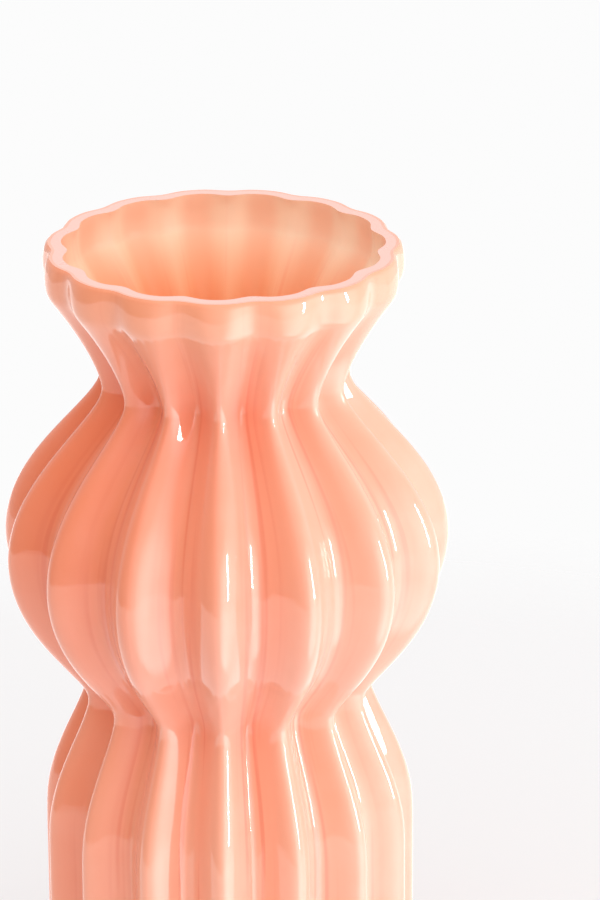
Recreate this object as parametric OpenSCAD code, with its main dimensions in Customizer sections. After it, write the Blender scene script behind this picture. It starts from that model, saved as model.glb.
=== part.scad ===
// Ribbed glass vase: a mould-blown wall of coloured opal glass under a thin outer casing.
// Millimetres, +Z up, origin on the table at the axis, one rib crest facing -Y.
// Diameters are taken halfway between rib crest and rib valley.

/* [Lip and flare] */
// Diameter of the cut rim
mouth_d = 116; // [90:1:130]
// Height of the upright collar under the rim
lip_h = 12.3; // [6:0.1:18]
// Diameter at the lower edge of the collar
lip_under_d = 115.6; // [90:0.2:125]
// How far the collar bulges outwards halfway down
lip_swell = 0.9; // [0:0.1:2.5]
// Width of the ground bevel on the outer edge of the rim
rim_bevel = 0.8; // [0.3:0.1:1.5]
// Height of the flare between the neck and the collar
flare_h = 34.5; // [20:0.5:60]
// Steepness of the flare near the collar
flare_curve_share = 1.39; // [1:0.01:2]

/* [Bulb] */
// Diameter at the neck
neck_d = 74.7; // [60:0.1:90]
// Height from the bulb's widest ring up to the neck
bulb_top_h = 56.7; // [35:0.1:80]
// Diameter at the bulb's widest ring
bulb_d = 139.6; // [110:0.2:160]
// Height from the waist up to the bulb's widest ring
bulb_low_h = 51.7; // [35:0.1:80]
// Fullness of the bulb above its widest ring
bulb_top_lean_share = 0.68; // [0.55:0.01:1]
// Fullness of the bulb below its widest ring
bulb_low_lean_share = 0.63; // [0.55:0.01:1]

/* [Waist and lower body] */
// Diameter at the waist
waist_d = 87.2; // [70:0.2:100]
// Height of the shoulder between the lower body and the waist
shoulder_h = 49; // [25:0.5:70]
// Fullness of the shoulder
shoulder_lean_share = 0.76; // [0.55:0.01:1]
// Diameter of the straight lower body
body_d = 116; // [90:0.2:130]
// Height of the straight lower body above the heel
body_h = 82; // [30:1:120]

/* [Ribs] */
// Number of ribs around the vase
rib_count = 15; // [9:1:18]
// Depth from crest to valley at the rim, where grinding has flattened the ribs
mouth_rib_depth = 1.7; // [0.5:0.1:4]
// Depth from crest to valley at the rim's inner edge
mouth_inner_rib_depth = 2.5; // [0.5:0.1:4]
// Depth from crest to valley at the neck
neck_rib_depth = 7.8; // [3:0.1:9]
// Depth from crest to valley at the bulb's widest ring
bulb_rib_depth = 10.2; // [4:0.1:12]
// Depth from crest to valley at the waist
waist_rib_depth = 8.4; // [3:0.1:10]
// Depth from crest to valley on the lower body
body_rib_depth = 10.2; // [4:0.1:12]
// How much narrower a crest is than a valley
crest_sharp_share = 0.03; // [-0.1:0.01:0.3]
// The same at the rim, where the valleys are the narrower ones
mouth_sharp_share = -0.18; // [-0.25:0.01:0.2]
// Share of the outer rib depth that also shows inside
inner_rib_share = 0.8; // [0.4:0.05:0.9]

/* [Walls] */
// Thickness of the outer casing, measured level
casing_wall = 1; // [0.6:0.1:1.8]
// Thickness of the opal wall, measured level
opal_wall = 4.5; // [3:0.1:6]

/* [Foot] */
// Height of the rounded heel
heel_h = 14; // [8:0.5:25]
// Diameter of the foot above its bevel
foot_d = 90; // [70:1:100]
// Width of the bevel ground on the outer edge of the foot
foot_bevel = 2; // [1.9:0.1:3.5]
// Width of the flat ring that the vase stands on
foot_ring_w = 7; // [4:0.5:12]
// Height of the hollow under the foot
punt_h = 4; // [2:0.5:8]
// Thickness of the floor above the hollow
floor_t = 9; // [5:0.5:14]
// Height of the rounding between the floor and the inner wall
inner_heel_h = 16; // [8:0.5:22]

/* [Detail] */
// Points along one rib, from valley to valley
rib_points = 8; // [6:2:12]
// Rings in the collar
lip_rings = 2; // [2:1:6]
// Rings in the flare
flare_rings = 3; // [3:1:8]
// Rings in each half of the bulb
bulb_rings = 4; // [4:1:8]
// Rings in the shoulder
shoulder_rings = 3; // [3:1:8]
// Rings in the heel
heel_rings = 2; // [2:1:5]

/* [Hidden] */

vase_h = heel_h + body_h + shoulder_h + bulb_low_h + bulb_top_h + flare_h + lip_h;
lip_z = vase_h - lip_h;
neck_z = lip_z - flare_h;
bulb_z = neck_z - bulb_top_h;
waist_z = bulb_z - bulb_low_h;
body_z = waist_z - shoulder_h;
floor_z = punt_h + floor_t;
inner_heel_z = floor_z + inner_heel_h;

mouth_r = mouth_d / 2;
lip_under_r = lip_under_d / 2;
neck_r = neck_d / 2;
bulb_r = bulb_d / 2;
waist_r = waist_d / 2;
body_r = body_d / 2;
foot_r = foot_d / 2;
ring_r = foot_r - foot_bevel;
punt_r = ring_r - foot_ring_w;
wall = casing_wall + opal_wall;

points_round = rib_count * rib_points;

// A smooth step from 0 to 1
function ease(t) = (1 - cos(180 * t)) / 2;
function mix(a, b, t) = a + (b - a) * t;

// Each level of the outside is [height, radius, rib depth, crest sharpness]

// The collar, from its lower edge (t = 0) to the rim (t = 1)
function lip_level(t) = [
    mix(lip_z, vase_h, t),
    mix(lip_under_r, mouth_r, t) + lip_swell * sin(180 * t),
    mix(neck_rib_depth, mouth_rib_depth, (flare_h + lip_h * t) / (flare_h + lip_h)),
    mix(crest_sharp_share, mouth_sharp_share, (flare_h + lip_h * t) / (flare_h + lip_h))
];

// The flare, from the neck up to the collar
function flare_level(t) = [
    mix(neck_z, lip_z, t),
    mix(neck_r, lip_under_r, pow(t, flare_curve_share)),
    mix(neck_rib_depth, mouth_rib_depth, flare_h * t / (flare_h + lip_h)),
    mix(crest_sharp_share, mouth_sharp_share, flare_h * t / (flare_h + lip_h))
];

// The upper half of the bulb, from the neck down to the widest ring
function bulb_top_level(t) = [
    mix(neck_z, bulb_z, t),
    mix(neck_r, bulb_r, ease(pow(t, bulb_top_lean_share))),
    mix(neck_rib_depth, bulb_rib_depth, t),
    crest_sharp_share
];

// The lower half of the bulb, from the waist up to the widest ring
function bulb_low_level(t) = [
    mix(waist_z, bulb_z, t),
    mix(waist_r, bulb_r, ease(pow(t, bulb_low_lean_share))),
    mix(waist_rib_depth, bulb_rib_depth, t),
    crest_sharp_share
];

// The shoulder, from the waist down to the lower body
function shoulder_level(t) = [
    mix(waist_z, body_z, t),
    mix(waist_r, body_r, ease(pow(t, shoulder_lean_share))),
    mix(waist_rib_depth, body_rib_depth, t),
    crest_sharp_share
];

// The heel, a quarter round from the foot's bevel (t = 0) up to the lower body (t = 1)
function heel_level(t) = [
    mix(foot_bevel, heel_h, 1 - cos(90 * t)),
    mix(foot_r, body_r, sin(90 * t)),
    body_rib_depth * sin(90 * t),
    crest_sharp_share
];

// The outside from the collar down to the heel, without the rim and the foot's edge
outer_levels = [
    for (i = [lip_rings - 1 : -1 : 1]) lip_level(i / lip_rings),
    for (i = [flare_rings : -1 : 1]) flare_level(i / flare_rings),
    for (i = [0 : bulb_rings - 1]) bulb_top_level(i / bulb_rings),
    for (i = [bulb_rings : -1 : 1]) bulb_low_level(i / bulb_rings),
    for (i = [0 : shoulder_rings]) shoulder_level(i / shoulder_rings),
    for (i = [heel_rings : -1 : 1]) heel_level(i / heel_rings)
];

inner_levels = [for (v = outer_levels) if (v[0] > inner_heel_z) v];
inner_low_r = body_r - wall;

// One point on a rib, at a share of the way around the vase
function rib_wave(t, sharp) = cos(360 * rib_count * t) + sharp * cos(720 * rib_count * t);

// One closed ring of points
function ring(z, r, depth, sharp) = [
    for (i = [0 : points_round - 1])
        let (t = i / points_round, q = r + depth / 2 * rib_wave(t, sharp), a = 360 * t - 90)
            [q * cos(a), q * sin(a), z]
];

// A level moved inwards by a wall, with a share of its ribs
function offset_ring(v, inwards, rib_share) = ring(v[0], v[1] - inwards, v[2] * rib_share, v[3]);

outer_rings = [
    ring(vase_h, mouth_r - rim_bevel, mouth_rib_depth, mouth_sharp_share),
    ring(vase_h - rim_bevel, mouth_r, mouth_rib_depth, mouth_sharp_share),
    for (v = outer_levels) offset_ring(v, 0, 1),
    ring(foot_bevel, foot_r, 0, 0)
];

// The face between the casing and the opal, shared point by point by both nodes
joint_rings = [
    ring(vase_h, mouth_r - rim_bevel - casing_wall, mouth_rib_depth, mouth_sharp_share),
    ring(vase_h - rim_bevel, mouth_r - casing_wall, mouth_rib_depth, mouth_sharp_share),
    for (v = outer_levels) offset_ring(v, casing_wall, 1),
    ring(foot_bevel - casing_wall, foot_r - casing_wall, 0, 0)
];

// The inside from the floor up to the rim
inner_rings = [
    for (i = [heel_rings : -1 : 1])
        ring(
            mix(inner_heel_z, floor_z, sin(90 * i / heel_rings)),
            mix(inner_low_r - inner_heel_h, inner_low_r, cos(90 * i / heel_rings)),
            body_rib_depth * inner_rib_share * (1 - i / heel_rings),
            crest_sharp_share
        ),
    ring(inner_heel_z, inner_low_r, body_rib_depth * inner_rib_share, crest_sharp_share),
    for (i = [len(inner_levels) - 1 : -1 : 0]) offset_ring(inner_levels[i], wall, inner_rib_share),
    ring(vase_h, mouth_r - wall, mouth_inner_rib_depth, mouth_sharp_share)
];

// The flat ring of the foot, and the hollow inside it
foot_rings = [
    ring(0, ring_r, 0, 0),
    ring(0, punt_r, 0, 0),
    for (i = [1 : heel_rings - 1])
        ring(punt_h * sin(90 * i / heel_rings), punt_r * cos(90 * i / heel_rings), 0, 0)
];

function reversed(list) = [for (i = [len(list) - 1 : -1 : 0]) list[i]];

// Joins neighbouring rings with triangles. A loop of rings closes on itself,
// and otherwise the first and the last ring are closed by a point on the axis.
// Both nodes list the joint's rings in the same order, so their triangles there match.
module skin_rings(rings, loop, flip, first_z = 0, last_z = 0) {
    n = points_round;
    m = len(rings);
    spans = loop ? m : m - 1;
    walls = [
        for (j = [0 : spans - 1], i = [0 : n - 1])
            let (k = (i + 1) % n, low = j * n, high = (j + 1) % m * n)
                each [[low + i, high + i, low + k], [low + k, high + i, high + k]]
    ];
    caps = loop ? [] : [
        for (i = [0 : n - 1])
            each [[m * n, i, (i + 1) % n], [m * n + 1, (m - 1) * n + (i + 1) % n, (m - 1) * n + i]]
    ];
    sides = [each walls, each caps];
    tips = loop ? [] : [[0, 0, first_z], [0, 0, last_z]];
    faces = flip ? [for (f = sides) reversed(f)] : sides;
    polyhedron(points = [each for (r = rings) r, each tips], faces = faces);
}

// The coloured wall: from the floor up the inside, down the joint face and under the foot
module opal_body() {
    color([0.97, 0.7, 0.56])
        skin_rings([each inner_rings, each joint_rings, each foot_rings], false, true, floor_z, punt_h);
}

// The outer layer, cut flush with the opal at the rim and along the foot's bevel
module outer_casing() {
    color([0.89, 0.5, 0.34])
        skin_rings([each joint_rings, each reversed(outer_rings)], true, false);
}

opal_body();
outer_casing();
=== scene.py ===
import math

import bmesh
import bpy
from mathutils import Matrix, Vector


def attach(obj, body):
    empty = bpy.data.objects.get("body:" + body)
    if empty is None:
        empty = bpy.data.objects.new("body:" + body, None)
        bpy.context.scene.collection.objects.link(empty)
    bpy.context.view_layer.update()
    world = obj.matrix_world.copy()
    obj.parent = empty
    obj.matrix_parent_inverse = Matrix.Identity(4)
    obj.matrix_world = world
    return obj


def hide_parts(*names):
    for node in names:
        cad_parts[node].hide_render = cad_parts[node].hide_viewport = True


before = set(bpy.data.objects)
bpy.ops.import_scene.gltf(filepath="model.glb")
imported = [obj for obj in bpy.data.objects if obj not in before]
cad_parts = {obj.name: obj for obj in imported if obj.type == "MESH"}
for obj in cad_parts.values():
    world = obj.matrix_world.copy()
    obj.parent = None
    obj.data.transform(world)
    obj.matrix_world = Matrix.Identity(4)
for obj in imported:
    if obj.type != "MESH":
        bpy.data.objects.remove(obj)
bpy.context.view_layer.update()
scene = bpy.context.scene
print("frame loaded:", sorted(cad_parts))


# the camera, at the photograph's viewing angle
cameraValues = {
    "place": (0.064608, -1.546672, 0.834894),
    "turn": 1.47,      # degrees round the vertical
    "tilt": 68.59,     # degrees up from looking straight down
    "roll": -0.283,    # degrees round the line of sight
    "lens": 200.0,     # millimetres
    "sensor": 36.0,
    "reach": 50.0,     # how far the camera sees, in metres
}


def buildCamera(values):
    camera = bpy.data.cameras.new("camera")
    camera.lens = values["lens"]
    camera.sensor_width = values["sensor"]
    camera.clip_end = values["reach"]
    item = bpy.data.objects.new("camera", camera)
    scene.collection.objects.link(item)
    turned = (Matrix.Rotation(math.radians(values["turn"]), 4, "Z")
              @ Matrix.Rotation(math.radians(values["tilt"]), 4, "X")
              @ Matrix.Rotation(math.radians(values["roll"]), 4, "Z"))
    item.matrix_world = Matrix.Translation(values["place"]) @ turned
    scene.camera = item


buildCamera(cameraValues)
print("camera placed")


# The form of the glass, shared by both layers, in metres. D is a diameter halfway between rib
# crest and rib valley, H a height, T a thickness, and a rib's depth runs from crest to valley.
form = {
    "mouthD": 0.116,
    "lipH": 0.0123,           # the short collar under the rim
    "lipUnderD": 0.1156,
    "lipSwell": 0.0009,       # how far the collar swells out halfway up
    "rimBevel": 0.0008,
    "flareH": 0.0345,
    "flareCurve": 1.39,       # higher keeps the flare narrow for longer
    "neckD": 0.0747,
    "bulbTopH": 0.0567,
    "bulbTopLean": 0.68,      # lower turns away from the neck sooner
    "bulbD": 0.1396,
    "bulbLowH": 0.0517,
    "bulbLowLean": 0.63,
    "waistD": 0.0872,
    "shoulderH": 0.049,
    "shoulderLean": 0.76,
    "bodyD": 0.116,
    "bodyH": 0.082,
    "heelH": 0.014,
    "footD": 0.09,
    "footBevel": 0.002,
    "footRingW": 0.007,       # the ground ring that the vase stands on
    "puntH": 0.004,           # the hollow under the foot
    "floorT": 0.009,
    "innerHeelH": 0.016,
    "casingWall": 0.001,
    "opalWall": 0.0045,
    "ribCount": 15,
    "mouthRib": 0.0017,
    "mouthInnerRib": 0.0025,
    "neckRib": 0.0078,
    "bulbRib": 0.0102,
    "waistRib": 0.0084,
    "bodyRib": 0.0102,
    "innerRib": 0.8,          # the inside ribs' depth, as a share of the outside ones'
    "crestSharp": 0.03,       # above zero the crests are narrower than the valleys
    "mouthSharp": -0.18,
}

# how finely the mesh is drawn
fineness = {
    "ribPoints": 12,
    "lipRings": 5,
    "flareRings": 9,
    "bulbRings": 12,
    "shoulderRings": 9,
    "bodyRings": 5,
    "heelRings": 5,
    "puntRings": 4,
    "heelGap": 0.003,         # free height between the inner heel and the next ring above it
    "floorRingR": 0.02,
    "poleR": 0.006,           # the last ring round the axis, before it is closed
    "smoothing": 1,           # subdivision levels
    "smoothAngle": 38.0,      # degrees, below which an edge is shaded smooth
}

# how near is the same place, in metres and for an angle in radians
near = {"weld": 0.00001, "height": 0.00002, "cut": 0.00005, "pole": 0.0001, "foot": 0.0002,
        "poleRing": 0.0005, "angle": 0.0001}

vaseH = sum(form[part] for part in ("heelH", "bodyH", "shoulderH", "bulbLowH", "bulbTopH",
                                    "flareH", "lipH"))
lipZ = vaseH - form["lipH"]
neckZ = lipZ - form["flareH"]
bulbZ = neckZ - form["bulbTopH"]
waistZ = bulbZ - form["bulbLowH"]
bodyZ = waistZ - form["shoulderH"]
floorZ = form["puntH"] + form["floorT"]
wall = form["casingWall"] + form["opalWall"]


def mix(a, b, t):
    return a + (b - a) * t


def ease(t):
    return (1 - math.cos(math.pi * t)) / 2


# A level is (height, radius, rib depth, crest sharpness), and the lists run from the rim down.

def mouthRibs(height):
    # rib depth and sharpness at a height above the neck
    share = height / (form["flareH"] + form["lipH"])
    return (mix(form["neckRib"], form["mouthRib"], share),
            mix(form["crestSharp"], form["mouthSharp"], share))


def lipLevel(t):
    swell = form["lipSwell"] * math.sin(math.pi * t)
    return (mix(lipZ, vaseH, t), mix(form["lipUnderD"], form["mouthD"], t) / 2 + swell,
            *mouthRibs(form["flareH"] + form["lipH"] * t))


def flareLevel(t):
    return (mix(neckZ, lipZ, t), mix(form["neckD"], form["lipUnderD"], t ** form["flareCurve"]) / 2,
            *mouthRibs(form["flareH"] * t))


def easedLevel(t, start, startZ, end, endZ, lean):
    # between two of the neck, bulb, waist and body, upright at both ends
    share = ease(t ** form[lean])
    return (mix(startZ, endZ, t), mix(form[start + "D"], form[end + "D"], share) / 2,
            mix(form[start + "Rib"], form[end + "Rib"], t), form["crestSharp"])


def heelLevel(t):
    turn = math.pi / 2 * t
    return (mix(form["footBevel"], form["heelH"], 1 - math.cos(turn)),
            mix(form["footD"], form["bodyD"], math.sin(turn)) / 2,
            form["bodyRib"] * math.sin(turn), form["crestSharp"])


def outerLevels():
    lip, flare, bulb = fineness["lipRings"], fineness["flareRings"], fineness["bulbRings"]
    shoulder, body, heel = fineness["shoulderRings"], fineness["bodyRings"], fineness["heelRings"]
    levels = [lipLevel(i / lip) for i in range(lip - 1, 0, -1)]
    levels += [flareLevel(i / flare) for i in range(flare, 0, -1)]
    levels += [easedLevel(i / bulb, "neck", neckZ, "bulb", bulbZ, "bulbTopLean")
               for i in range(bulb)]
    levels += [easedLevel(i / bulb, "waist", waistZ, "bulb", bulbZ, "bulbLowLean")
               for i in range(bulb, 0, -1)]
    levels += [easedLevel(i / shoulder, "waist", waistZ, "body", bodyZ, "shoulderLean")
               for i in range(shoulder)]
    levels += [(mix(bodyZ, form["heelH"], i / body), form["bodyD"] / 2, form["bodyRib"],
                form["crestSharp"]) for i in range(body)]
    levels += [heelLevel(i / heel) for i in range(heel, 0, -1)]
    return levels


def moved(level, inwards, ribShare=1.0):
    return (level[0], level[1] - inwards, level[2] * ribShare, level[3])


def rimLevels(inwards):
    # the bevelled edge of the rim
    mouthR, bevel = form["mouthD"] / 2, form["rimBevel"]
    return [(vaseH, mouthR - bevel - inwards, form["mouthRib"], form["mouthSharp"]),
            (vaseH - bevel, mouthR - inwards, form["mouthRib"], form["mouthSharp"])]


def jointLevels():
    # the face that the casing and the opal share
    casing = form["casingWall"]
    levels = rimLevels(casing) + [moved(level, casing) for level in outerLevels()]
    levels += [(form["footBevel"] - casing, form["footD"] / 2 - casing, 0.0, 0.0)]
    return levels


def innerLevels():
    heel, turnZ = fineness["heelRings"], floorZ + form["innerHeelH"]
    lowR = form["bodyD"] / 2 - wall
    levels = [(vaseH, form["mouthD"] / 2 - wall, form["mouthInnerRib"], form["mouthSharp"])]
    levels += [moved(level, wall, form["innerRib"]) for level in outerLevels()
               if level[0] > turnZ + fineness["heelGap"]]
    for i in range(heel + 1):
        turn = math.pi / 2 * i / heel
        levels.append((mix(turnZ, floorZ, math.sin(turn)),
                       mix(lowR - form["innerHeelH"], lowR, math.cos(turn)),
                       form["bodyRib"] * form["innerRib"] * (1 - i / heel), form["crestSharp"]))
    levels += [(floorZ, fineness["floorRingR"], 0.0, 0.0), (floorZ, fineness["poleR"], 0.0, 0.0)]
    return levels


# modelling, one rib at a time

def deselectAll():
    if bpy.context.mode != "OBJECT":
        bpy.ops.object.mode_set(mode="OBJECT")
    bpy.ops.object.select_all(action="DESELECT")


def editMesh(item):
    return bmesh.from_edit_mesh(item.data)


def pickVerts(item, test):
    bm = editMesh(item)
    for part in (bm.faces, bm.edges, bm.verts):
        for one in part:
            one.select = False
    for vert in bm.verts:
        if test(vert.co):
            vert.select = True
    bm.select_flush_mode()
    bmesh.update_edit_mesh(item.data, loop_triangles=False, destructive=False)


def reachOf(co):
    # distance from the vase's axis
    return math.hypot(co.x, co.y)


def turnOf(co):
    # angle round the vase, from the crest in front
    return math.atan2(co.x, -co.y)


def smoothingHold(turn):
    # the share of a wave that the subdivision leaves, so the cage stands further out by it
    return (4 + 2 * math.cos(turn)) / 6


def ringRadius(level, share):
    step = 2 * math.pi / fineness["ribPoints"]
    first = math.cos(2 * math.pi * share) / smoothingHold(step)
    second = level[3] * math.cos(4 * math.pi * share) / smoothingHold(2 * step)
    return level[1] + level[2] / 2 * (first + second)


def shapeRing(item, level):
    # the selected ring is scaled point by point, each pair that mirrors over the crest together
    bm = editMesh(item)
    ring = sorted((v for v in bm.verts if v.select), key=lambda v: turnOf(v.co))
    last = len(ring) - 1
    for i in range(last // 2 + 1):
        for vert in ring:
            vert.select = vert in (ring[i], ring[last - i])
        bm.select_flush_mode()
        size = ringRadius(level, (last / 2 - i) / last) / reachOf(ring[i].co)
        bpy.ops.transform.resize(value=(size, size, 1.0), center_override=(0.0, 0.0, 0.0))
    for vert in ring:
        vert.select = True
    bm.select_flush_mode()


def buildShell(name, levels):
    # one rib is drawn out of an arc from level to level, and turned round the axis
    deselectAll()
    count = form["ribCount"]
    bpy.ops.mesh.primitive_circle_add(vertices=count * fineness["ribPoints"], radius=levels[0][1],
                                      location=(0.0, 0.0, 0.0))
    item = bpy.context.object
    item.name = name
    item.data.name = name
    bpy.ops.object.mode_set(mode="EDIT")
    bpy.ops.mesh.select_mode(type="VERT")
    halfRib = math.pi / count + near["angle"]
    pickVerts(item, lambda co: abs(turnOf(co)) > halfRib)
    bpy.ops.mesh.delete(type="VERT")
    bpy.ops.mesh.select_all(action="SELECT")
    bpy.ops.transform.translate(value=(0.0, 0.0, levels[0][0]))
    shapeRing(item, levels[0])
    for before, level in zip(levels, levels[1:]):
        step = (0.0, 0.0, level[0] - before[0])
        bpy.ops.mesh.extrude_edges_move(TRANSFORM_OT_translate={"value": step})
        shapeRing(item, level)
    bpy.ops.mesh.select_all(action="SELECT")
    bpy.ops.mesh.spin(steps=count - 1, dupli=True, angle=2 * math.pi * (count - 1) / count,
                      center=(0.0, 0.0, 0.0), axis=(0.0, 0.0, 1.0))
    bpy.ops.mesh.select_all(action="SELECT")
    bpy.ops.mesh.remove_doubles(threshold=near["weld"])
    return item


def creaseRings(item, heights):
    # the rings at these heights stay sharp, and so do the casing's thin cut edges between them
    thin = 1.2 * form["casingWall"]
    for z in heights:
        pickVerts(item, lambda co: abs(co.z - z) < near["height"])
        for edge in editMesh(item).edges:
            if edge.select and abs(reachOf(edge.verts[0].co) - reachOf(edge.verts[1].co)) > thin:
                edge.select = False
        bpy.ops.transform.edge_crease(value=1.0)


def closePole(item, z):
    # closes the small ring left round the axis at that height
    widest = fineness["poleR"] + near["poleRing"]
    bpy.ops.object.mode_set(mode="EDIT")
    bpy.ops.mesh.select_mode(type="VERT")
    pickVerts(item, lambda co: abs(co.z - z) < near["pole"] and reachOf(co) < widest)
    bpy.ops.mesh.extrude_edges_move(TRANSFORM_OT_translate={"value": (0.0, 0.0, 0.0)})
    bpy.ops.mesh.merge(type="CENTER")
    bpy.ops.object.mode_set(mode="OBJECT")


def finishShell(item):
    bpy.ops.mesh.select_all(action="SELECT")
    bpy.ops.mesh.normals_make_consistent(inside=False)
    bpy.ops.object.mode_set(mode="OBJECT")
    smooth = item.modifiers.new("smooth", "SUBSURF")
    smooth.levels = fineness["smoothing"]
    smooth.render_levels = fineness["smoothing"]
    bpy.ops.object.modifier_apply(modifier="smooth")
    bpy.ops.object.shade_smooth_by_angle(angle=math.radians(fineness["smoothAngle"]))


def paintFaces(item, index, test):
    # gives the faces whose height passes the test the material in that slot
    bpy.ops.object.mode_set(mode="EDIT")
    bpy.ops.mesh.select_mode(type="FACE")
    bm = editMesh(item)
    for face in bm.faces:
        face.select = test(face.calc_center_median().z)
    bm.select_flush_mode()
    item.active_material_index = index
    bpy.ops.object.material_slot_assign()
    bpy.ops.object.mode_set(mode="OBJECT")


# nodes and materials

def newMaterial(name):
    material = bpy.data.materials.new(name)
    material.use_nodes = True
    return material, material.node_tree, material.node_tree.nodes["Principled BSDF"]


def newGroup(name, inputs, outputs):
    tree = bpy.data.node_groups.new(name, "ShaderNodeTree")
    for socket, value in inputs.items():
        kind = "NodeSocketColor" if isinstance(value, tuple) else "NodeSocketFloat"
        tree.interface.new_socket(socket, in_out="INPUT", socket_type=kind).default_value = value
    for socket in outputs:
        kind = "NodeSocketColor" if socket == "Color" else "NodeSocketFloat"
        tree.interface.new_socket(socket, in_out="OUTPUT", socket_type=kind)
    given = tree.nodes.new("NodeGroupInput").outputs
    result = tree.nodes.new("NodeGroupOutput").inputs
    return tree, given, result


def link(tree, out, into):
    tree.links.new(out, into)


def setOrLink(tree, value, socket):
    if isinstance(value, (int, float, tuple)):
        socket.default_value = value
    else:
        link(tree, value, socket)


def noiseNode(tree, vector, pattern):
    node = tree.nodes.new("ShaderNodeTexNoise")
    node.inputs["Scale"].default_value = pattern["scale"]
    node.inputs["Detail"].default_value = pattern["detail"]
    node.inputs["Roughness"].default_value = pattern["rough"]
    link(tree, vector, node.inputs["Vector"])
    return node.outputs["Fac"]


def rangeNode(tree, value, lowIn, highIn, lowOut, highOut):
    node = tree.nodes.new("ShaderNodeMapRange")
    for name, number in (("From Min", lowIn), ("From Max", highIn),
                         ("To Min", lowOut), ("To Max", highOut)):
        node.inputs[name].default_value = number
    link(tree, value, node.inputs["Value"])
    return node.outputs["Result"]


def softRange(tree, value, lowIn, highIn, lowOut=0.0, highOut=1.0):
    result = rangeNode(tree, value, lowIn, highIn, lowOut, highOut)
    result.node.interpolation_type = "SMOOTHSTEP"
    return result


def noiseMask(tree, vector, pattern, low=0.0, high=1.0):
    noise = noiseNode(tree, vector, pattern)
    return rangeNode(tree, noise, pattern["from"], pattern["to"], low, high)


def mathNode(tree, kind, a, b=0.0):
    node = tree.nodes.new("ShaderNodeMath")
    node.operation = kind
    for socket, value in zip(node.inputs, (a, b)):
        setOrLink(tree, value, socket)
    return node.outputs[0]


def vectorNode(tree, kind, *values):
    node = tree.nodes.new("ShaderNodeVectorMath")
    node.operation = kind
    for socket, value in zip(node.inputs, values):
        setOrLink(tree, value, socket)
    return node.outputs["Value" if kind in ("LENGTH", "DOT_PRODUCT") else "Vector"]


def colourMix(tree, share, a, b):
    node = tree.nodes.new("ShaderNodeMix")
    node.data_type = "RGBA"
    for socket, value in ((node.inputs[0], share), (node.inputs[6], a), (node.inputs[7], b)):
        link(tree, value, socket)
    return node.outputs[2]


# the marks in blown glass: each noise's scale and detail, and the range of it that shows
blown = {
    "streaks": {"scale": 260.0, "detail": 3.0, "rough": 0.6, "from": 0.35, "to": 0.75},
    "clouds": {"scale": 22.0, "detail": 2.0, "rough": 0.5, "from": 0.3, "to": 0.75},
    "cords": {"scale": 520.0, "detail": 1.0, "rough": 0.4, "from": 0.52, "to": 0.68},
    "film": {"scale": 55.0, "detail": 4.0, "rough": 0.6, "from": 0.35, "to": 0.75},
    "swell": {"scale": 30.0, "detail": 1.0, "rough": 0.4},
    "drag": {"scale": 190.0, "detail": 2.0, "rough": 0.5},
    "roundR": 0.06,           # the radius at which drawn marks run round the vase
    "streakAlong": 0.16,      # lower draws the streaks out longer
    "cordAlong": 0.025,
    "streakShare": 0.45,
    "cordShare": 0.45,
    "filmLow": -0.04,         # what the film of dust adds to the roughness
    "filmHigh": 0.06,
    "dragShare": 0.12,
    "litSideTurnLow": 30.0,      # where the painted lit side is, in degrees from the front to the right
    "litSideTurnHigh": 95.0,
    "litTurnBelow": 0.015,       # how far below and above the waist it turns
    "litTurnAbove": 0.02,
    "valley": (-0.3, 0.7),    # the part of the rib's wave that counts as its valley
    "paintedGrooveShade": (-0.6, 1.0),    # and as the groove behind its crest
    "lipStart": 0.012,        # how far below the neck the glass begins to pale
    "lipMost": 0.98,
    "lipShadedSide": 0.7,          # how much of that the shaded side gets, so the painted glow is weaker away from the light
}


def drawnOut(tree, place, along):
    # coordinates that run round the vase and slowly along it, for marks drawn out with the glass
    unit = vectorNode(tree, "NORMALIZE", vectorNode(tree, "MULTIPLY", place, (1.0, 1.0, 0.0)))
    rise = vectorNode(tree, "MULTIPLY", place, (0.0, 0.0, along))
    return vectorNode(tree, "MULTIPLY_ADD", unit, (blown["roundR"], blown["roundR"], 0.0), rise)


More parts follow.
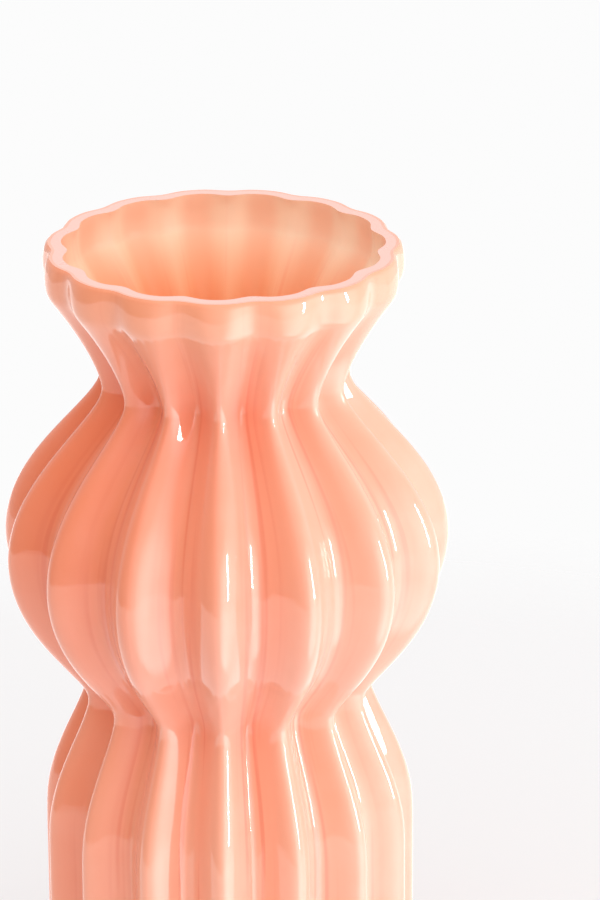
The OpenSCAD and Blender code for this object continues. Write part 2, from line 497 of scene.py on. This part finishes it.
def blownGlassGroup():
    tree, given, result = newGroup("blownGlass", {
        "Tint": (0.8, 0.2, 0.1, 1.0), "Lit Side Tint": (0.9, 0.3, 0.15, 1.0),
        "Lip Thin And Glow Tint": (0.9, 0.35, 0.2, 1.0), "Cord And Shade Tint": (0.7, 0.12, 0.04, 1.0),
        "Lip Fade": 2.5, "Groove Shade Share": 0.0, "Streaks": 0.5, "Lit Side Share": 0.5, "Depth": 0.5,
    }, ("Color", "Roughness", "Height"))
    place = tree.nodes.new("ShaderNodeTexCoord").outputs["Object"]
    parts = tree.nodes.new("ShaderNodeSeparateXYZ")
    link(tree, place, parts.inputs[0])
    height = parts.outputs["Z"]
    turn = mathNode(tree, "ARCTAN2", parts.outputs["X"],
                    mathNode(tree, "MULTIPLY", parts.outputs["Y"], -1.0))
    wave = mathNode(tree, "COSINE", mathNode(tree, "MULTIPLY", turn, float(form["ribCount"])))
    # drawn streaks of colour, and slow thick and thin places
    drawn = drawnOut(tree, place, blown["streakAlong"])
    streaks = mathNode(tree, "MULTIPLY", noiseMask(tree, drawn, blown["streaks"]),
                       blown["streakShare"])
    clouds = noiseMask(tree, place, blown["clouds"])
    share = mathNode(tree, "MULTIPLY", mathNode(tree, "ADD", streaks, clouds), given["Streaks"])
    # Painted light: the side that the light falls on is painted paler, the right of the bulb,
    # and further to the front in the lower body, where a pale sheen shows.
    litTurn = softRange(tree, height, waistZ - blown["litTurnBelow"], waistZ + blown["litTurnAbove"],
                      math.radians(blown["litSideTurnLow"]), math.radians(blown["litSideTurnHigh"]))
    side = mathNode(tree, "COSINE", mathNode(tree, "SUBTRACT", turn, litTurn))
    side = rangeNode(tree, side, -1.0, 1.0, 0.0, 1.0)
    share = mathNode(tree, "ADD", share, mathNode(tree, "MULTIPLY", side, given["Lit Side Share"]))
    body = colourMix(tree, share, given["Tint"], given["Lit Side Tint"])
    # fine dark cords of colour, laid only into the valleys between the ribs, also paint shade into
    # these creases
    valley = softRange(tree, mathNode(tree, "MULTIPLY", wave, -1.0), *blown["valley"])
    cords = noiseMask(tree, drawnOut(tree, place, blown["cordAlong"]), blown["cords"],
                      0.0, blown["cordShare"])
    body = colourMix(tree, mathNode(tree, "MULTIPLY", cords, valley), body, given["Cord And Shade Tint"])
    # the glass runs thin and pale towards the lip, and over that a painted glow, fullest on the lit
    # side, stands in for light passing through the thin glass
    lip = rangeNode(tree, height, neckZ - blown["lipStart"], lipZ, 0.0, blown["lipMost"])
    lip = mathNode(tree, "POWER", lip, given["Lip Fade"])
    lip = mathNode(tree, "MULTIPLY", lip, rangeNode(tree, side, 0.0, 1.0, blown["lipShadedSide"], 1.0))
    body = colourMix(tree, lip, body, given["Lip Thin And Glow Tint"])
    # painted shade: inside, the colour is darkened in the grooves behind the crests
    paintedGrooveShade = mathNode(tree, "MULTIPLY", softRange(tree, wave, *blown["paintedGrooveShade"]), given["Groove Shade Share"])
    link(tree, colourMix(tree, paintedGrooveShade, body, given["Cord And Shade Tint"]), result["Color"])
    # a little film of dust, and a skin that swells slowly and was dragged along
    film = noiseMask(tree, place, blown["film"], blown["filmLow"], blown["filmHigh"])
    link(tree, mathNode(tree, "ADD", film, given["Depth"]), result["Roughness"])
    drag = mathNode(tree, "MULTIPLY", noiseNode(tree, drawn, blown["drag"]), blown["dragShare"])
    link(tree, mathNode(tree, "ADD", noiseNode(tree, place, blown["swell"]), drag),
         result["Height"])
    return tree


# the marks in a face ground flat on a wheel
ground = {
    "grain": {"scale": 2600.0, "detail": 3.0, "rough": 0.7},
    "cloudy": {"scale": 90.0, "detail": 3.0, "rough": 0.6},
    "scratches": {"Scale": 900.0, "Distortion": 14.0, "Detail": 3.0, "Detail Scale": 2.0},
    "scratchFrom": 0.72,
    "scratchShare": 0.35,
    "cloudyShare": 0.5,
    "roughFrom": (0.3, 0.8),
    "roughTo": (0.26, 0.42),
}


def groundGlassGroup():
    # a fine frosted grain, with a few deeper scratches
    tree, given, result = newGroup("groundGlass", {
        "Tint": (0.9, 0.5, 0.45, 1.0), "Scratch Tint": (0.95, 0.7, 0.65, 1.0),
    }, ("Color", "Roughness", "Height"))
    place = tree.nodes.new("ShaderNodeTexCoord").outputs["Object"]
    grain = noiseNode(tree, place, ground["grain"])
    cloudy = noiseNode(tree, place, ground["cloudy"])
    scratches = tree.nodes.new("ShaderNodeTexWave")
    scratches.wave_type = "RINGS"
    scratches.rings_direction = "Z"
    for socket, value in ground["scratches"].items():
        scratches.inputs[socket].default_value = value
    link(tree, place, scratches.inputs["Vector"])
    lines = rangeNode(tree, scratches.outputs["Fac"], ground["scratchFrom"], 1.0, 0.0, 1.0)
    share = mathNode(tree, "ADD", mathNode(tree, "MULTIPLY", lines, ground["scratchShare"]),
                     mathNode(tree, "MULTIPLY", cloudy, ground["cloudyShare"]))
    link(tree, colourMix(tree, share, given["Tint"], given["Scratch Tint"]), result["Color"])
    link(tree, rangeNode(tree, cloudy, *ground["roughFrom"], *ground["roughTo"]),
         result["Roughness"])
    link(tree, mathNode(tree, "ADD", grain, lines), result["Height"])
    return tree


blownGlass = blownGlassGroup()
groundGlass = groundGlassGroup()
glassIor = 1.5

# which value of a piece goes into which socket of the blown glass
blownSockets = {"Tint": "tint", "Lit Side Tint": "litSideTint", "Lip Thin And Glow Tint": "lipThinAndGlowTint",
                "Cord And Shade Tint": "cordAndShadeTint", "Lip Fade": "lipFade", "Groove Shade Share": "grooveShadeShare",
                "Streaks": "streaks", "Lit Side Share": "litSideShare", "Depth": "depth"}


def glassMaterial(name, group, values, sockets, bumpValues):
    material, tree, shader = newMaterial(name)
    finish = tree.nodes.new("ShaderNodeGroup")
    finish.node_tree = group
    for socket, key in sockets.items():
        value = values[key]
        tinted = isinstance(value, tuple)
        finish.inputs[socket].default_value = (*value, 1.0) if tinted else value
    link(tree, finish.outputs["Color"], shader.inputs["Base Color"])
    link(tree, finish.outputs["Roughness"], shader.inputs["Roughness"])
    bump = tree.nodes.new("ShaderNodeBump")
    bump.inputs["Strength"].default_value, bump.inputs["Distance"].default_value = bumpValues
    link(tree, finish.outputs["Height"], bump.inputs["Height"])
    link(tree, bump.outputs["Normal"], shader.inputs["Normal"])
    shader.inputs["IOR"].default_value = glassIor
    return material, shader


def blownMaterial(name, values):
    # a milky depth that scatters broadly, under a fire polished skin
    material, shader = glassMaterial(name, blownGlass, values, blownSockets, values["bump"])
    shader.inputs["IOR"].default_value = values["haze"]
    shader.inputs["Specular IOR Level"].default_value = 1.0
    shader.inputs["Coat Weight"].default_value = values["gloss"]
    shader.inputs["Coat IOR"].default_value = glassIor
    shader.inputs["Coat Roughness"].default_value = values["skin"]
    return material


def groundMaterial(name, values, tint, scratchTint, bumpKey):
    sockets = {"Tint": tint, "Scratch Tint": scratchTint}
    return glassMaterial(name, groundGlass, values, sockets, values[bumpKey])[0]


casingValues = {
    "tint": (0.875, 0.18, 0.05),
    # painted light: the next colour paints the side that the light falls on paler
    "litSideTint": (0.94, 0.34, 0.185),
    # the lip colour is the thin glass's own paler colour with a painted glow over it
    "lipThinAndGlowTint": (0.92, 0.285, 0.11),
    "lipFade": 2.5,             # higher keeps the pale glass closer to the lip
    # the next colour darkens the cords in the valleys, painting shade there
    "cordAndShadeTint": (0.78, 0.11, 0.02),
    "grooveShadeShare": 0.0,
    "streaks": 0.12,
    "litSideShare": 0.85,           # how much paler the painted lit side is
    "depth": 0.95,              # roughness of the milky depth
    "haze": 1.75,               # higher lays more of the room's white over the colour
    "gloss": 0.75,
    "skin": 0.02,               # roughness of the polished skin
    "bump": (0.05, 0.001),      # strength and depth
    "cutTint": (0.93, 0.5, 0.4),
    "cutBump": (0.15, 0.0001),
}


def buildCasing(values):
    rim = rimLevels(0.0)
    foot = [(form["footBevel"], form["footD"] / 2, 0.0, 0.0)]
    loop = rim + outerLevels() + foot + jointLevels()[::-1] + rim[:1]
    item = buildShell("casingSkin", loop)
    creaseRings(item, (vaseH, vaseH - form["rimBevel"], form["footBevel"],
                       form["footBevel"] - form["casingWall"]))
    finishShell(item)
    item.data.materials.clear()
    item.data.materials.append(blownMaterial("casingGlass", values))
    item.data.materials.append(groundMaterial("casingCut", values, "cutTint", "litSideTint",
                                              "cutBump"))
    paintFaces(item, 1, lambda z: z > vaseH - near["cut"])
    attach(item, "root")
    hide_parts("outer_casing")
    return item


casing = buildCasing(casingValues)
print("outer casing built:", len(casing.data.polygons), "faces")


opalValues = {
    "tint": (0.97, 0.33, 0.13),
    # painted light: the next colour paints the side that the light falls on paler
    "litSideTint": (0.99, 0.43, 0.2),
    # the lip colour is mostly a painted glow, standing in for light passing through the thin glass
    "lipThinAndGlowTint": (1.0, 0.77, 0.56),
    "lipFade": 4.0,
    "cordAndShadeTint": (0.95, 0.22, 0.07),
    "grooveShadeShare": 0.26,            # how much painted shade of the deep tint lies in the groove behind each crest
    "streaks": 0.15,
    "litSideShare": 0.5,
    "depth": 0.9,
    "haze": 1.35,
    "gloss": 0.3,
    "skin": 0.45,
    "bump": (0.06, 0.001),
    "rimTint": (0.95, 0.5, 0.42),
    "rimScratch": (0.97, 0.6, 0.52),
    "rimBump": (0.15, 0.0001),
    "footTint": (0.88, 0.55, 0.45),
    "footBump": (0.3, 0.0001),
}


def buildOpal(values):
    ringR = form["footD"] / 2 - form["footBevel"]
    puntR = ringR - form["footRingW"]
    foot = [(0.0, ringR, 0.0, 0.0), (0.0, puntR, 0.0, 0.0)]
    for i in range(1, fineness["puntRings"] + 1):
        turn = math.pi / 2 * i / fineness["puntRings"]
        foot.append((form["puntH"] * math.sin(turn),
                     max(puntR * math.cos(turn), fineness["poleR"]), 0.0, 0.0))
    item = buildShell("opalWall", innerLevels()[::-1] + jointLevels() + foot)
    creaseRings(item, (vaseH, vaseH - form["rimBevel"],
                       form["footBevel"] - form["casingWall"], 0.0))
    finishShell(item)
    closePole(item, floorZ)
    closePole(item, form["puntH"])
    item.data.materials.clear()
    item.data.materials.append(blownMaterial("opalInside", values))
    item.data.materials.append(groundMaterial("rimGround", values, "rimTint", "rimScratch",
                                              "rimBump"))
    item.data.materials.append(groundMaterial("footGround", values, "footTint", "rimScratch",
                                              "footBump"))
    paintFaces(item, 1, lambda z: z > vaseH - near["cut"])
    paintFaces(item, 2, lambda z: z < near["foot"])
    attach(item, "root")
    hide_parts("opal_body")
    return item


opal = buildOpal(opalValues)
print("opal wall built:", len(opal.data.polygons), "faces")


studioValues = {
    "ambient": 0.85,
    "fromRight": 0.26,          # how much stronger the room light is from there
    "fromFront": 0.18,
    "fromAbove": 0.42,
    "darkFrom": -50.0,          # the dark side of the room, as the glass reflects it
    "darkEdge": (0.45, 0.85),
    "darkGlow": 0.12,
    "tableEdge": (-0.25, -0.2),
    "tableGlow": 1.0,           # the white table below, seen as gloss alone
    "tableDown": 0.7,
    "tableWide": 7.0,
    "backdrop": (0.973, 0.973, 0.973),
    "aimHeight": 0.2,
    "keyFrom": 85.0,            # degrees from the front towards the right
    "keyUp": 30.0,
    "keyDistance": 2.4,
    "keyGlow": 0.5,
    "keyWide": 2.2,
    "keyTall": 1.8,
    "cardDistance": 2.2,
}

# Azimuth from the front towards the right, elevation, how bright the card looks in the glass,
# and the shares of its width and height over which its edges fade out.
cards = [
    {"name": "frontBox", "from": 10.0, "to": 102.0, "low": -62.0, "high": 38.0, "glow": 4.6,
     "sideFade": 0.5, "endFade": 0.25},
    {"name": "sideBox", "from": 75.0, "to": 150.0, "low": -62.0, "high": 38.0, "glow": 0.7,
     "sideFade": 0.5, "endFade": 0.25},
    {"name": "lampTube", "from": 66.0, "to": 72.5, "low": -7.0, "high": 20.0, "glow": 80.0,
     "sideFade": 0.04, "endFade": 0.02},
]


def softEdgeGroup():
    # the brightness of a soft box across its face, 1 in the middle and 0 along its edges
    tree, given, result = newGroup("softEdge", {"Side Fade": 0.2, "End Fade": 0.2}, ("Share",))
    face = tree.nodes.new("ShaderNodeSeparateXYZ")
    link(tree, tree.nodes.new("ShaderNodeNewGeometry").outputs["Parametric"], face.inputs[0])
    shares = []
    for across, fade in ((face.outputs["X"], given["Side Fade"]),
                         (face.outputs["Y"], given["End Fade"])):
        edge = mathNode(tree, "MINIMUM", across, mathNode(tree, "SUBTRACT", 1.0, across))
        step = softRange(tree, edge, 0.0, 1.0)
        link(tree, fade, step.node.inputs["From Max"])
        shares.append(step)
    link(tree, mathNode(tree, "MULTIPLY", *shares), result["Share"])
    return tree


softEdge = softEdgeGroup()


def fadeEdges(lamp, card):
    lamp.use_nodes = True
    tree = lamp.node_tree
    shares = tree.nodes.new("ShaderNodeGroup")
    shares.node_tree = softEdge
    shares.inputs["Side Fade"].default_value = card["sideFade"]
    shares.inputs["End Fade"].default_value = card["endFade"]
    link(tree, shares.outputs["Share"], tree.nodes["Emission"].inputs["Strength"])


def areaLamp(name, place, target, width, height, glow):
    lamp = bpy.data.lights.new(name, "AREA")
    lamp.shape = "RECTANGLE"
    lamp.size = width
    lamp.size_y = height
    lamp.energy = glow * math.pi * width * height
    item = bpy.data.objects.new(name, lamp)
    scene.collection.objects.link(item)
    aim = (target - place).to_track_quat("-Z", "Y").to_matrix().to_4x4()
    item.matrix_world = Matrix.Translation(place) @ aim
    item.visible_camera = False
    return item


def buildLights(values):
    middle = Vector((0.0, 0.0, values["aimHeight"]))
    turn, up = math.radians(values["keyFrom"]), math.radians(values["keyUp"])
    way = Vector((math.sin(turn) * math.cos(up), -math.cos(turn) * math.cos(up), math.sin(up)))
    key = areaLamp("keyLamp", middle + way * values["keyDistance"], middle,
                   values["keyWide"], values["keyTall"], values["keyGlow"])
    key.visible_glossy = False
    reach = values["cardDistance"]
    for card in cards:
        turn = math.radians((card["from"] + card["to"]) / 2)
        width = 2 * reach * math.tan(math.radians(card["to"] - card["from"]) / 2)
        low = reach * math.tan(math.radians(card["low"]))
        high = reach * math.tan(math.radians(card["high"]))
        place = Vector((math.sin(turn) * reach, -math.cos(turn) * reach,
                        values["aimHeight"] + (low + high) / 2))
        item = areaLamp(card["name"], place, Vector((0.0, 0.0, place.z)), width, high - low,
                        card["glow"])
        fadeEdges(item.data, card)
        item.visible_diffuse = False
    bounce = areaLamp("tableBounce", Vector((0.0, 0.0, -values["tableDown"])), middle,
                      values["tableWide"], values["tableWide"], values["tableGlow"])
    bounce.visible_diffuse = False


def buildWorld(values):
    world = bpy.data.worlds.new("studio")
    scene.world = world
    world.use_nodes = True
    tree = world.node_tree
    tree.nodes.clear()
    way = tree.nodes.new("ShaderNodeTexCoord").outputs["Generated"]
    # what lights the vase
    lit = tree.nodes.new("ShaderNodeBackground")
    lit.inputs["Color"].default_value = (1.0, 1.0, 1.0, 1.0)
    lean = vectorNode(tree, "DOT_PRODUCT", way,
                      (values["fromRight"], -values["fromFront"], values["fromAbove"]))
    link(tree, mathNode(tree, "ADD", lean, values["ambient"]), lit.inputs["Strength"])
    # what the camera and the gloss see: white, with the dark side of the room in the gloss alone
    path = tree.nodes.new("ShaderNodeLightPath").outputs
    shown = tree.nodes.new("ShaderNodeBackground")
    shown.inputs["Color"].default_value = (*values["backdrop"], 1.0)
    parts = tree.nodes.new("ShaderNodeSeparateXYZ")
    link(tree, way, parts.inputs[0])
    turn = math.radians(values["darkFrom"])
    facing = vectorNode(tree, "DOT_PRODUCT", way, (math.sin(turn), -math.cos(turn), 0.0))
    dark = softRange(tree, facing, *values["darkEdge"], 1.0, values["darkGlow"])
    table = softRange(tree, parts.outputs["Z"], *values["tableEdge"], 1.0, 0.0)
    room = mathNode(tree, "MAXIMUM", dark, table)
    link(tree, mathNode(tree, "MAXIMUM", room, path["Is Camera Ray"]), shown.inputs["Strength"])
    seen = mathNode(tree, "MAXIMUM", path["Is Camera Ray"], path["Is Glossy Ray"])
    seen = mathNode(tree, "MAXIMUM", seen, path["Is Transmission Ray"])
    choose = tree.nodes.new("ShaderNodeMixShader")
    link(tree, seen, choose.inputs[0])
    link(tree, lit.outputs[0], choose.inputs[1])
    link(tree, shown.outputs[0], choose.inputs[2])
    output = tree.nodes.new("ShaderNodeOutputWorld")
    link(tree, choose.outputs[0], output.inputs["Surface"])


floorValues = {
    "radius": 1.2,
    "sides": 96,
    "colour": (0.8, 0.8, 0.8),
    "roughness": 0.9,
    "white": (0.965, 0.935, 0.945),   # the floor's own white, as the camera sees it
    "whiteShare": 0.3,
    "reach": 0.395,                   # where the floor starts to melt into the backdrop
    "fade": 0.1,
}


def buildFloor(values):
    deselectAll()
    bpy.ops.mesh.primitive_circle_add(vertices=values["sides"], radius=values["radius"],
                                      fill_type="NGON", location=(0.0, 0.0, 0.0))
    item = bpy.context.object
    item.name = "floor"
    material, tree, shader = newMaterial("paleFloor")
    shader.inputs["Base Color"].default_value = (*values["colour"], 1.0)
    shader.inputs["Roughness"].default_value = values["roughness"]
    shader.inputs["Specular IOR Level"].default_value = 0.0
    # seen by the camera, the floor is partly its own white, and the rest of it takes the shadow
    white = tree.nodes.new("ShaderNodeEmission")
    white.inputs["Color"].default_value = (*values["white"], 1.0)
    path = tree.nodes.new("ShaderNodeLightPath").outputs
    seen = mathNode(tree, "MULTIPLY", path["Is Camera Ray"], values["whiteShare"])
    pale = tree.nodes.new("ShaderNodeMixShader")
    link(tree, seen, pale.inputs[0])
    link(tree, shader.outputs[0], pale.inputs[1])
    link(tree, white.outputs[0], pale.inputs[2])
    # it is clear from below, and melts into the backdrop further out
    place = tree.nodes.new("ShaderNodeTexCoord").outputs["Object"]
    fade = rangeNode(tree, vectorNode(tree, "LENGTH", place), values["reach"],
                     values["reach"] + values["fade"], 0.0, 1.0)
    under = tree.nodes.new("ShaderNodeNewGeometry").outputs["Backfacing"]
    clear = tree.nodes.new("ShaderNodeBsdfTransparent")
    melt = tree.nodes.new("ShaderNodeMixShader")
    link(tree, mathNode(tree, "MAXIMUM", fade, under), melt.inputs[0])
    link(tree, pale.outputs[0], melt.inputs[1])
    link(tree, clear.outputs[0], melt.inputs[2])
    link(tree, melt.outputs[0], tree.nodes["Material Output"].inputs["Surface"])
    item.data.materials.append(material)
    item.visible_glossy = False
    item.visible_diffuse = False
    item.visible_shadow = False


buildLights(studioValues)
buildWorld(studioValues)
buildFloor(floorValues)
scene.view_settings.view_transform = "Standard"
print("studio lit")
